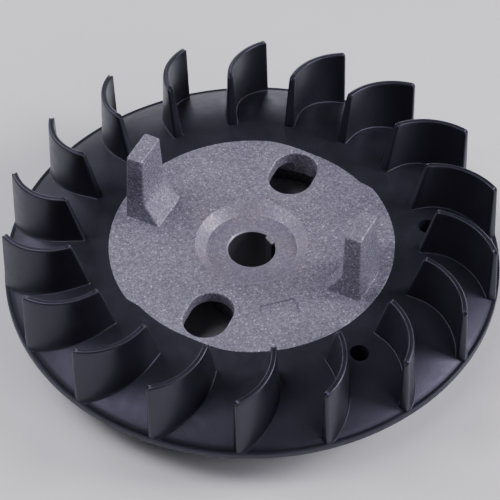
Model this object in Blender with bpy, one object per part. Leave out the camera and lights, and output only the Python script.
"""Flywheel of a small air-cooled engine: a cast hub and rim that carry a moulded cooling fan.

The part stands on the lower edge of its rim, at z = 0, and turns about the Z axis. Its two starter
lugs point up. Lengths are in metres. Angles are in degrees, counter-clockwise from +X seen from above.
"""
from math import cos, pi, radians, sin, sqrt

import bmesh
import bpy
from mathutils import Vector

MM = 0.001
GAP = 0.3 * MM              # clearance kept between two pieces that touch
TURN_STEPS = 60             # facets round a turned shape
FINE_STEPS = 24             # facets round a hole or a screw
OVERCUT = 1.0 * MM          # how far a cutter runs past the face it opens
OVERLAP = 2.0 * MM          # how far a rib or the key runs into the body that carries it

# Hub casting
HUB_RADIUS = 50.7 * MM      # raised disc that the fan fits round
HUB_TOP = 27.1 * MM
WEB_THICKNESS = 4.4 * MM
STEP_INNER_RADIUS = 46.5 * MM
RELIEF_DEPTH = 1.9 * MM     # two arcs of the disc's edge are set in by this much
RELIEF_ANGLES = (30, 35, 60, 84)
NUT_SEAT_RADIUS = 16.1 * MM
NUT_SEAT_HEIGHT = 23.9 * MM
NUT_RECESS_RADIUS = 20.0 * MM
BORE_SMALL_RADIUS = 8.45 * MM
BORE_SLOPE = 0.052          # growth of the bore's radius per unit of depth
BOSS_TOP_RADIUS = 18.0 * MM
BOSS_END_RADIUS = 16.0 * MM
BOSS_END_HEIGHT = 2.0 * MM
KEY_ANGLE = 31.5
KEY_WIDTH = 4.0 * MM
KEY_REACH = 6.95 * MM       # distance from the axis to the key's flat face
CHAMFER = 0.6 * MM

RIM_OUTER_RADIUS = 73.0 * MM
RIM_INNER_RADIUS = 58.0 * MM
RIM_DRAFT = 1.0 * MM
FLANGE_TOP = 21.2 * MM

RIB_ANGLES = (17.2, 107.2, 152.2, 197.2, 287.2, 332.2)
RIB_THICKNESS = 4.0 * MM
RIB_BOSS_HEIGHT = 8.0 * MM
RIB_RIM_HEIGHT = 11.0 * MM

# Starter lugs, seen from the side as (distance from the axis, height)
LUG_ANGLES = (152.2, 332.2)
LUG_TOP = 55.7 * MM
LUG_OUTER_RADIUS = 46.2 * MM
LUG_TOP_OUTER_RADIUS = 45.4 * MM
LUG_TOP_INNER_RADIUS = 39.2 * MM
LUG_KINK = (38.7 * MM, 35.8 * MM)
LUG_FOOT_RADIUS = 32.9 * MM
LUG_HALF_WIDTH = 8.4 * MM
LUG_TOP_HALF_WIDTH = 6.9 * MM

# Obround slots through the web
SLOT_ANGLES = (65.3, 245.3)
SLOT_CENTRE_RADIUS = 36.9 * MM
SLOT_LENGTH = 20.6 * MM
SLOT_WIDTH = 15.7 * MM

# Fan
FAN_RADIUS = 88.0 * MM
FAN_EDGE_TOP = 18.0 * MM
FAN_EDGE_THICKNESS = 2.5 * MM
FAN_LIP_WIDTH = 1.5 * MM
FAN_PLATE_THICKNESS = 2.4 * MM
DOME_TOP = 26.95 * MM
DOME_START_RADIUS = 58.1 * MM
DOME_EDGE_HEIGHT = 18.2 * MM
DOME_STEPS = 5

BLADE_COUNT = 18
BLADE_INNER_RADIUS = 64.35 * MM
BLADE_INNER_ANGLE = 95.85   # of the first blade
BLADE_ARC_RADIUS = 21.6 * MM
BLADE_TURN = 74.0           # how far the blade's centre line turns from radial
BLADE_FOOT_REACH = 5.2 * MM
BLADE_TIP_HEIGHT = 46.6 * MM
BLADE_TIP_FALL = 0.153      # fall of the top edge per unit of radius
BLADE_TOP_THICKNESS = 2.1 * MM
BLADE_ROOT_THICKNESS = 3.9 * MM
BLADE_END_SHARE = 0.6       # thickness of a blade's two ends, as a share of its own
BLADE_STEPS = 8

# Fan screws, driven up through the rim into blind bosses under the fan's plate
SCREW_ANGLES = (21.0, 111.0, 201.0, 291.0)
SCREW_CIRCLE_RADIUS = 65.5 * MM
FAN_BOSS_RADIUS = 5.0 * MM
FAN_BOSS_SEAT_HEIGHT = 14.0 * MM
FAN_BOSS_HOLE_TOP = 21.0 * MM
SCREW_HOLE_RADIUS = 2.2 * MM
SCREW_SEAT_HEIGHT = 6.0 * MM
SCREW_COUNTERBORE_RADIUS = 3.9 * MM
SCREW_HEAD_RADIUS = 3.2 * MM
SCREW_HEAD_HEIGHT = 2.4 * MM
SCREW_SHANK_RADIUS = 1.9 * MM
SCREW_LENGTH = 14.0 * MM

# Shape that every screw shares
SCREW_POINT_LENGTH = 1.5 * MM
SCREW_POINT_SHARE = 0.5     # radius of the point's end, as a share of the shank's
CROWN_HEIGHT = 0.8 * MM     # of a pan head's sloping edge
CROWN_SHARE = 0.7           # radius of a pan head's flat top, as a share of the head's
DRIVE_SHARE = 0.45          # radius of the drive recess, as a share of the head's
DRIVE_FLOOR_SHARE = 0.35
DRIVE_DEPTH = 1.2 * MM

# Ignition magnet and the counterweight opposite it, let into the rim's outer face
MAGNET_ANGLE = 246.0
WEIGHT_ANGLE = 66.0
POCKET_FLOOR_RADIUS = 68.4 * MM
POCKET_HALF_WIDTH = 17.0 * MM
POCKET_HEIGHTS = (3.0 * MM, 16.0 * MM)
MAGNET_HALF_WIDTH = 4.2 * MM
MAGNET_FACE_RADIUS = 71.6 * MM
SHOE_SCREW_OFFSET = 10.6 * MM
INSERT_SCREW_BORE_RADIUS = 2.3 * MM
INSERT_SCREW_SHANK_RADIUS = 2.0 * MM
INSERT_SCREW_HEAD_RADIUS = 3.6 * MM
INSERT_SCREW_HEAD_DEPTH = 2.2 * MM
INSERT_SCREW_FACE_RADIUS = 71.0 * MM
INSERT_SCREW_TIP_RADIUS = 61.5 * MM

# Holes drilled down through the fan's plate into the rim, to balance the wheel
BALANCE_ANGLES = (5.9, 304.9)
BALANCE_CIRCLE_RADIUS = 63.0 * MM
BALANCE_HOLE_RADIUS = 3.25 * MM
BALANCE_HOLE_BOTTOM = 12.0 * MM
BALANCE_POINT_HEIGHT = 1.9 * MM     # of the cone that the drill leaves
BALANCE_POINT_RADIUS = 0.3 * MM


def clear_scene():
    for item in list(bpy.data.objects):
        bpy.data.objects.remove(item, do_unlink=True)


def material(name, colour, roughness, metallic):
    made = bpy.data.materials.new(name)
    made.use_nodes = True
    shader = made.node_tree.nodes["Principled BSDF"]
    shader.inputs["Base Color"].default_value = (*colour, 1.0)
    shader.inputs["Roughness"].default_value = roughness
    shader.inputs["Metallic"].default_value = metallic
    return made


def place(radial, sideways, height, angle):
    """The point at these distances along and across the radius at an angle."""
    a = radians(angle)
    return Vector((radial * cos(a) - sideways * sin(a), radial * sin(a) + sideways * cos(a), height))


def add_loft(mesh, rings):
    """Adds a closed shell through rings of equal length, with a flat face at each end."""
    rows = [[mesh.verts.new(point) for point in ring] for ring in rings]
    count = len(rows[0])
    for low, high in zip(rows, rows[1:]):
        for i in range(count):
            j = (i + 1) % count
            mesh.faces.new((low[i], low[j], high[j], high[i]))
    mesh.faces.new(reversed(rows[0]))
    mesh.faces.new(rows[-1])


def add_turned(mesh, profile_at, steps=TURN_STEPS):
    """Adds a ring turned about Z. profile_at(angle) gives its closed outline as (radius, height)."""
    rows = []
    for k in range(steps):
        angle = 360.0 * k / steps
        rows.append([mesh.verts.new(place(r, 0.0, z, angle)) for r, z in profile_at(angle)])
    count = len(rows[0])
    for k in range(steps):
        here = rows[k]
        there = rows[(k + 1) % steps]
        for i in range(count):
            j = (i + 1) % count
            mesh.faces.new((here[i], there[i], there[j], here[j]))


def circle(centre, radius, across, up, steps=FINE_STEPS):
    """Points round a circle in the plane of two unit vectors."""
    turns = [2.0 * pi * k / steps for k in range(steps)]
    return [centre + radius * (cos(t) * across + sin(t) * up) for t in turns]


def add_stack(mesh, origin, direction, sizes, steps=FINE_STEPS):
    """Adds a round shell along a direction through (distance, radius) pairs."""
    across = direction.orthogonal().normalized()
    up = direction.cross(across)
    add_loft(mesh, [circle(origin + direction * d, r, across, up, steps) for d, r in sizes])


def add_upright(mesh, radius, angle, sizes, steps=FINE_STEPS):
    """Adds an upright round shell at a place on a circle, through (height, radius) pairs."""
    add_stack(mesh, place(radius, 0.0, 0.0, angle), Vector((0.0, 0.0, 1.0)), sizes, steps)


def finish(mesh, name, finish_material=None):
    """Turns the shells into a named object. With no material it is a helper that is not drawn."""
    bmesh.ops.recalc_face_normals(mesh, faces=mesh.faces)
    data = bpy.data.meshes.new(name)
    mesh.to_mesh(data)
    mesh.free()
    data.shade_smooth()
    data.set_sharp_from_angle(angle=radians(35.0))
    item = bpy.data.objects.new(name, data)
    bpy.context.collection.objects.link(item)
    if finish_material is None:
        item.hide_render = True
        item.display_type = "WIRE"
    else:
        data.materials.append(finish_material)
    return item


def combine(item, helper, operation):
    step = item.modifiers.new(helper.name, "BOOLEAN")
    step.operation = operation
    step.solver = "EXACT"
    step.object = helper


def hub_radius(angle):
    """Radius of the raised disc's edge, set in over two opposite arcs."""
    start, full, fade, end = RELIEF_ANGLES
    turn = angle % 180.0
    if turn <= start or turn >= end:
        return HUB_RADIUS
    if turn < full:
        share = (turn - start) / (full - start)
    elif turn <= fade:
        share = 1.0
    else:
        share = (end - turn) / (end - fade)
    return HUB_RADIUS - RELIEF_DEPTH * share


def dome_height(radius):
    """Height of the fan plate's upper face: flat near the hub, then a round shoulder to the edge."""
    if radius <= DOME_START_RADIUS:
        return DOME_TOP
    reach = FAN_RADIUS - FAN_LIP_WIDTH - DOME_START_RADIUS
    drop = DOME_TOP - DOME_EDGE_HEIGHT
    bend = (reach ** 2 + drop ** 2) / (2.0 * drop)
    return DOME_TOP - bend + sqrt(bend ** 2 - (radius - DOME_START_RADIUS) ** 2)


def casting_profile(angle):
    disc = hub_radius(angle)
    web_under = HUB_TOP - WEB_THICKNESS
    flange_under = FLANGE_TOP - WEB_THICKNESS
    bore_end = BORE_SMALL_RADIUS + BORE_SLOPE * (NUT_SEAT_HEIGHT - BOSS_END_HEIGHT)
    return [
        (BORE_SMALL_RADIUS, NUT_SEAT_HEIGHT - CHAMFER),
        (BORE_SMALL_RADIUS + CHAMFER, NUT_SEAT_HEIGHT),
        (NUT_SEAT_RADIUS, NUT_SEAT_HEIGHT),
        (NUT_RECESS_RADIUS, HUB_TOP),
        (disc - CHAMFER, HUB_TOP),
        (disc, HUB_TOP - CHAMFER),
        (disc, FLANGE_TOP),
        (RIM_OUTER_RADIUS - 2.0 * CHAMFER, FLANGE_TOP),
        (RIM_OUTER_RADIUS, FLANGE_TOP - 2.0 * CHAMFER),
        (RIM_OUTER_RADIUS, CHAMFER),
        (RIM_OUTER_RADIUS - CHAMFER, 0.0),
        (RIM_INNER_RADIUS + CHAMFER, 0.0),
        (RIM_INNER_RADIUS, CHAMFER),
        (RIM_INNER_RADIUS - RIM_DRAFT, flange_under - 2.0 * CHAMFER),
        (RIM_INNER_RADIUS - RIM_DRAFT - 2.0 * CHAMFER, flange_under),
        (STEP_INNER_RADIUS + CHAMFER, flange_under),
        (STEP_INNER_RADIUS, flange_under + CHAMFER),
        (STEP_INNER_RADIUS, web_under - CHAMFER),
        (STEP_INNER_RADIUS - CHAMFER, web_under),
        (BOSS_TOP_RADIUS + 2.0 * CHAMFER, web_under),
        (BOSS_TOP_RADIUS, web_under - 2.0 * CHAMFER),
        (BOSS_END_RADIUS, BOSS_END_HEIGHT + CHAMFER),
        (BOSS_END_RADIUS - CHAMFER, BOSS_END_HEIGHT),
        (bore_end + CHAMFER, BOSS_END_HEIGHT),
        (bore_end, BOSS_END_HEIGHT + CHAMFER),
    ]


def add_lug(mesh, angle):
    """A starter lug: a leaning slab with a foot that flares towards the bore."""
    buried = HUB_TOP - 0.5 * WEB_THICKNESS
    side = [
        (LUG_FOOT_RADIUS, buried),
        (LUG_FOOT_RADIUS, HUB_TOP),
        LUG_KINK,
        (LUG_TOP_INNER_RADIUS, LUG_TOP),
        (LUG_TOP_OUTER_RADIUS, LUG_TOP),
        (LUG_OUTER_RADIUS, HUB_TOP),
        (LUG_OUTER_RADIUS, buried),
    ]
    taper = (LUG_HALF_WIDTH - LUG_TOP_HALF_WIDTH) / (LUG_TOP - HUB_TOP)
    rings = []
    for sign in (-1.0, 1.0):
        rings.append([place(u, sign * (LUG_HALF_WIDTH - taper * (z - HUB_TOP)), z, angle) for u, z in side])
    add_loft(mesh, rings)


def add_rib(mesh, angle):
    """An upright rib under the web, from the boss to the rim."""
    web_middle = HUB_TOP - 0.5 * WEB_THICKNESS
    flange_middle = FLANGE_TOP - 0.5 * WEB_THICKNESS
    boss_radius = BOSS_END_RADIUS - OVERLAP
    rim_radius = RIM_INNER_RADIUS + OVERLAP
    step_radius = 0.5 * (STEP_INNER_RADIUS + HUB_RADIUS)
    recess_under = NUT_SEAT_HEIGHT - WEB_THICKNESS
    side = [
        (boss_radius, RIB_BOSS_HEIGHT),
        (rim_radius, RIB_RIM_HEIGHT),
        (rim_radius, flange_middle),
        (step_radius, flange_middle),
        (step_radius, web_middle),
        (NUT_RECESS_RADIUS + OVERLAP, web_middle),
        (BOSS_TOP_RADIUS, recess_under),
        (boss_radius, recess_under),
    ]
    add_loft(mesh, [[place(u, sign * 0.5 * RIB_THICKNESS, z, angle) for u, z in side] for sign in (-1, 1)])


def obround(angle):
    """Outline of a slot that is longest along the radius."""
    end = 0.5 * SLOT_WIDTH
    reach = 0.5 * SLOT_LENGTH - end
    points = []
    for side, first in ((1.0, -90.0), (-1.0, 90.0)):
        for k in range(FINE_STEPS // 2 + 1):
            turn = radians(first + 360.0 * k / FINE_STEPS)
            points.append((SLOT_CENTRE_RADIUS + side * reach + end * cos(turn), end * sin(turn)))
    return [place(u, v, 0.0, angle) for u, v in points]


def add_slot(mesh, angle):
    outline = obround(angle)
    low = HUB_TOP - WEB_THICKNESS - 2.0 * OVERCUT
    high = HUB_TOP + OVERCUT
    add_loft(mesh, [[point + Vector((0.0, 0.0, z)) for point in outline] for z in (low, high)])


def add_key(mesh):
    """The key that stands inward from the bore."""
    root = BORE_SMALL_RADIUS + OVERLAP
    half = 0.5 * KEY_WIDTH
    corners = ((KEY_REACH, -half), (root, -half), (root, half), (KEY_REACH, half))
    heights = (BOSS_END_HEIGHT + 2.0 * CHAMFER, NUT_SEAT_HEIGHT - 2.0 * CHAMFER)
    add_loft(mesh, [[place(u, v, z, KEY_ANGLE) for u, v in corners] for z in heights])


def add_pocket(mesh, angle):
    """A flat-bottomed pocket in the rim's outer face, with its two screw holes."""
    low, high = POCKET_HEIGHTS
    far = RIM_OUTER_RADIUS + OVERCUT
    half = POCKET_HALF_WIDTH
    corners = ((POCKET_FLOOR_RADIUS, -half), (far, -half), (far, half), (POCKET_FLOOR_RADIUS, half))
    add_loft(mesh, [[place(u, v, z, angle) for u, v in corners] for z in (low, high)])


def insert_screw_line(angle, side):
    """Where an insert's screw starts on the wheel's axis side, and the way it points."""
    middle = 0.5 * sum(POCKET_HEIGHTS)
    origin = place(0.0, side * SHOE_SCREW_OFFSET, middle, angle)
    return origin, place(1.0, 0.0, 0.0, angle)


def casting_additions():
    mesh = bmesh.new()
    for angle in LUG_ANGLES:
        add_lug(mesh, angle)
    add_key(mesh)
    return finish(mesh, "casting_additions")


def casting_ribs():
    mesh = bmesh.new()
    for angle in RIB_ANGLES:
        add_rib(mesh, angle)
    return finish(mesh, "casting_ribs")


def casting_cuts():
    mesh = bmesh.new()
    for angle in SLOT_ANGLES:
        add_slot(mesh, angle)
    for angle in SCREW_ANGLES:
        boss = FAN_BOSS_RADIUS + 1.5 * GAP
        sizes = [
            (-OVERCUT, SCREW_COUNTERBORE_RADIUS),
            (SCREW_SEAT_HEIGHT, SCREW_COUNTERBORE_RADIUS),
            (SCREW_SEAT_HEIGHT, SCREW_HOLE_RADIUS),
            (FAN_BOSS_SEAT_HEIGHT, SCREW_HOLE_RADIUS),
            (FAN_BOSS_SEAT_HEIGHT, boss),
            (FLANGE_TOP + OVERCUT, boss),
        ]
        add_upright(mesh, SCREW_CIRCLE_RADIUS, angle, sizes)
    for angle in BALANCE_ANGLES:
        sizes = [
            (BALANCE_HOLE_BOTTOM, BALANCE_POINT_RADIUS),
            (BALANCE_HOLE_BOTTOM + BALANCE_POINT_HEIGHT, BALANCE_HOLE_RADIUS),
            (FLANGE_TOP + OVERCUT, BALANCE_HOLE_RADIUS),
        ]
        add_upright(mesh, BALANCE_CIRCLE_RADIUS, angle, sizes)
    for angle in (MAGNET_ANGLE, WEIGHT_ANGLE):
        add_pocket(mesh, angle)
    return finish(mesh, "casting_cuts")


def casting_screw_holes():
    mesh = bmesh.new()
    for angle in (MAGNET_ANGLE, WEIGHT_ANGLE):
        for side in (-1, 1):
            origin, outward = insert_screw_line(angle, side)
            ends = (INSERT_SCREW_TIP_RADIUS - OVERCUT, POCKET_FLOOR_RADIUS + OVERCUT)
            add_stack(mesh, origin, outward, [(d, INSERT_SCREW_BORE_RADIUS) for d in ends])
    return finish(mesh, "casting_screw_holes")


def hub_casting(metal):
    mesh = bmesh.new()
    add_turned(mesh, casting_profile)
    item = finish(mesh, "hub_casting", metal)
    combine(item, casting_ribs(), "UNION")
    combine(item, casting_additions(), "UNION")
    combine(item, casting_cuts(), "DIFFERENCE")
    combine(item, casting_screw_holes(), "DIFFERENCE")


def plate_profile(angle):
    """Section of the fan's plate, which follows the hub's edge on its inner side."""
    inner = hub_radius(angle) + 1.5 * GAP
    lip = FAN_RADIUS - FAN_LIP_WIDTH
    rise = [DOME_START_RADIUS + (lip - DOME_START_RADIUS) * k / DOME_STEPS for k in range(DOME_STEPS + 1)]
    upper = [(r, dome_height(r)) for r in rise]
    lower = [(r, dome_height(r) - FAN_PLATE_THICKNESS) for r in rise[:-1]]
    under = FAN_EDGE_TOP - FAN_EDGE_THICKNESS
    outline = [(inner, DOME_TOP)] + upper
    outline += [(lip, FAN_EDGE_TOP), (FAN_RADIUS, FAN_EDGE_TOP), (FAN_RADIUS, under), (lip, under)]
    outline += reversed(lower)
    outline += [(inner, DOME_TOP - FAN_PLATE_THICKNESS)]
    return outline


def fan_backplate(plastic):
    mesh = bmesh.new()
    add_turned(mesh, plate_profile)
    item = finish(mesh, "fan_backplate", plastic)

    bosses = bmesh.new()
    holes = bmesh.new()
    seat = FAN_BOSS_SEAT_HEIGHT + GAP
    for angle in SCREW_ANGLES:
        top = dome_height(SCREW_CIRCLE_RADIUS + FAN_BOSS_RADIUS) - 0.5 * FAN_PLATE_THICKNESS
        add_upright(bosses, SCREW_CIRCLE_RADIUS, angle, [(seat, FAN_BOSS_RADIUS), (top, FAN_BOSS_RADIUS)])
        ends = (seat - OVERCUT, FAN_BOSS_HOLE_TOP)
        add_upright(holes, SCREW_CIRCLE_RADIUS, angle, [(z, SCREW_HOLE_RADIUS) for z in ends])
    for angle in BALANCE_ANGLES:
        ends = (DOME_TOP - 2.0 * FAN_PLATE_THICKNESS, DOME_TOP + OVERCUT)
        add_upright(holes, BALANCE_CIRCLE_RADIUS, angle, [(z, BALANCE_HOLE_RADIUS) for z in ends])
    combine(item, finish(bosses, "fan_bosses"), "UNION")
    combine(item, finish(holes, "fan_holes"), "DIFFERENCE")


def blade_point(distance):
    """Centre line of the first blade in plan, with its direction. It starts radial, then curves."""
    start = radians(BLADE_INNER_ANGLE)
    outward = Vector((cos(start), sin(start)))
    clockwise = Vector((sin(start), -cos(start)))
    foot = outward * BLADE_INNER_RADIUS
    if distance <= 0.0:
        return foot + outward * distance, outward
    turn = distance / BLADE_ARC_RADIUS
    point = foot + BLADE_ARC_RADIUS * (sin(turn) * outward + (1.0 - cos(turn)) * clockwise)
    return point, cos(turn) * outward + sin(turn) * clockwise


def blade_mesh():
    """The first blade. Its foot follows the plate, and reaches further in than its tip."""
    length = BLADE_ARC_RADIUS * radians(BLADE_TURN)
    mesh = bmesh.new()
    rows = []
    for k in range(BLADE_STEPS + 1):
        share = k / BLADE_STEPS
        narrow = BLADE_END_SHARE if k in (0, BLADE_STEPS) else 1.0
        tip, tip_way = blade_point(share * length)
        foot, foot_way = blade_point(share * (length + BLADE_FOOT_REACH) - BLADE_FOOT_REACH)
        row = []
        for sign in (-1.0, 1.0):
            side = Vector((-foot_way.y, foot_way.x)) * sign * 0.5 * BLADE_ROOT_THICKNESS * narrow
            low = foot + side
            row.append(Vector((low.x, low.y, max(dome_height(low.length), FAN_EDGE_TOP) + GAP)))
        for sign in (1.0, -1.0):
            side = Vector((-tip_way.y, tip_way.x)) * sign * 0.5 * BLADE_TOP_THICKNESS * narrow
            high = tip + side
            fall = BLADE_TIP_FALL * (tip.length - BLADE_INNER_RADIUS)
            row.append(Vector((high.x, high.y, BLADE_TIP_HEIGHT - fall)))
        rows.append(row)
    add_loft(mesh, rows)
    bmesh.ops.triangulate(mesh, faces=mesh.faces)
    return mesh


def fan_blades(plastic):
    first = finish(blade_mesh(), "fan_blade_01", plastic)
    for k in range(1, BLADE_COUNT):
        item = bpy.data.objects.new(f"fan_blade_{k + 1:02d}", first.data)
        item.rotation_euler.z = -2.0 * pi * k / BLADE_COUNT
        bpy.context.collection.objects.link(item)


def fan_screws(steel):
    """Pan-head screws that stand on their heads, deep in the rim's counterbores."""
    seat = SCREW_SEAT_HEIGHT - GAP
    top = seat - SCREW_HEAD_HEIGHT
    tip = seat + SCREW_LENGTH
    for number, angle in enumerate(SCREW_ANGLES, 1):
        mesh = bmesh.new()
        sizes = [
            (top + DRIVE_DEPTH, DRIVE_FLOOR_SHARE * SCREW_HEAD_RADIUS),
            (top, DRIVE_SHARE * SCREW_HEAD_RADIUS),
            (top, CROWN_SHARE * SCREW_HEAD_RADIUS),
            (top + CROWN_HEIGHT, SCREW_HEAD_RADIUS),
            (seat, SCREW_HEAD_RADIUS),
            (seat, SCREW_SHANK_RADIUS),
            (tip - SCREW_POINT_LENGTH, SCREW_SHANK_RADIUS),
            (tip, SCREW_POINT_SHARE * SCREW_SHANK_RADIUS),
        ]
        add_upright(mesh, SCREW_CIRCLE_RADIUS, angle, sizes, FINE_STEPS // 2)
        finish(mesh, f"fan_screw_{number}", steel)


def rim_arc(first, last, radius, steps=4):
    """(distance along the radius, sideways) points on the rim's face between two side distances."""
    points = []
    for k in range(steps + 1):
        sideways = first + (last - first) * k / steps
        points.append((sqrt(radius ** 2 - sideways ** 2), sideways))
    return points


def add_insert(mesh, angle, first, last, face_radius):
    """A block in a rim pocket, flat behind and round in front, between two side distances."""
    back = POCKET_FLOOR_RADIUS + GAP
    outline = [(back, first)] + rim_arc(first, last, face_radius) + [(back, last)]
    low, high = POCKET_HEIGHTS
    add_loft(mesh, [[place(u, v, z, angle) for u, v in outline] for z in (low + GAP, high - GAP)])


def add_countersink(mesh, angle, side):
    """Cutter for a screw hole with a conical seat that opens at the rim's face."""
    origin, outward = insert_screw_line(angle, side)
    face = INSERT_SCREW_FACE_RADIUS
    seat = face - INSERT_SCREW_HEAD_DEPTH
    sizes = [
        (POCKET_FLOOR_RADIUS - OVERCUT, INSERT_SCREW_BORE_RADIUS),
        (seat + GAP, INSERT_SCREW_BORE_RADIUS),
        (face, INSERT_SCREW_HEAD_RADIUS + GAP),
        (RIM_OUTER_RADIUS + OVERCUT, INSERT_SCREW_HEAD_RADIUS + GAP),
    ]
    add_stack(mesh, origin, outward, sizes)


def rim_insert(name, angle, first, last, metal, screw_sides=(), face_radius=RIM_OUTER_RADIUS):
    mesh = bmesh.new()
    add_insert(mesh, angle, first, last, face_radius)
    item = finish(mesh, name, metal)
    if screw_sides:
        holes = bmesh.new()
        for side in screw_sides:
            add_countersink(holes, angle, side)
        combine(item, finish(holes, name + "_holes"), "DIFFERENCE")


def insert_screw(name, angle, side, steel):
    """A countersunk screw that lies along the radius, with its head just under the rim's face."""
    mesh = bmesh.new()
    origin, outward = insert_screw_line(angle, side)
    face = INSERT_SCREW_FACE_RADIUS - GAP
    sizes = [
        (INSERT_SCREW_TIP_RADIUS, SCREW_POINT_SHARE * INSERT_SCREW_SHANK_RADIUS),
        (INSERT_SCREW_TIP_RADIUS + SCREW_POINT_LENGTH, INSERT_SCREW_SHANK_RADIUS),
        (face - INSERT_SCREW_HEAD_DEPTH + GAP, INSERT_SCREW_SHANK_RADIUS),
        (face, INSERT_SCREW_HEAD_RADIUS - GAP),
        (face, DRIVE_SHARE * INSERT_SCREW_HEAD_RADIUS),
        (face - DRIVE_DEPTH, DRIVE_FLOOR_SHARE * INSERT_SCREW_HEAD_RADIUS),
    ]
    add_stack(mesh, origin, outward, sizes, FINE_STEPS // 2)
    finish(mesh, name, steel)


def magnet_group(laminated, alnico, steel):
    edge = POCKET_HALF_WIDTH - GAP
    split = MAGNET_HALF_WIDTH + GAP
    rim_insert("pole_shoe_leading", MAGNET_ANGLE, -edge, -split, laminated, (-1,))
    rim_insert("pole_shoe_trailing", MAGNET_ANGLE, split, edge, laminated, (1,))
    half = MAGNET_HALF_WIDTH
    rim_insert("ignition_magnet", MAGNET_ANGLE, -half, half, alnico, (), MAGNET_FACE_RADIUS)
    insert_screw("pole_shoe_screw_1", MAGNET_ANGLE, -1, steel)
    insert_screw("pole_shoe_screw_2", MAGNET_ANGLE, 1, steel)


def counterweight_group(iron, steel):
    edge = POCKET_HALF_WIDTH - GAP
    rim_insert("counterweight", WEIGHT_ANGLE, -edge, edge, iron, (-1, 1))
    insert_screw("counterweight_screw_1", WEIGHT_ANGLE, -1, steel)
    insert_screw("counterweight_screw_2", WEIGHT_ANGLE, 1, steel)


def build():
    clear_scene()
    aluminium = material("cast_aluminium", (0.42, 0.42, 0.45), 0.45, 0.9)
    plastic = material("fan_plastic", (0.018, 0.018, 0.021), 0.42, 0.0)
    black_steel = material("black_steel", (0.05, 0.05, 0.055), 0.5, 0.9)
    laminated = material("laminated_steel", (0.30, 0.30, 0.31), 0.4, 1.0)
    alnico = material("alnico", (0.20, 0.19, 0.18), 0.55, 0.9)
    iron = material("cast_iron", (0.16, 0.15, 0.15), 0.6, 0.9)
    plated = material("plated_steel", (0.55, 0.55, 0.52), 0.35, 1.0)
    hub_casting(aluminium)
    fan_backplate(plastic)
    fan_blades(plastic)
    fan_screws(black_steel)
    magnet_group(laminated, alnico, plated)
    counterweight_group(iron, plated)


build()
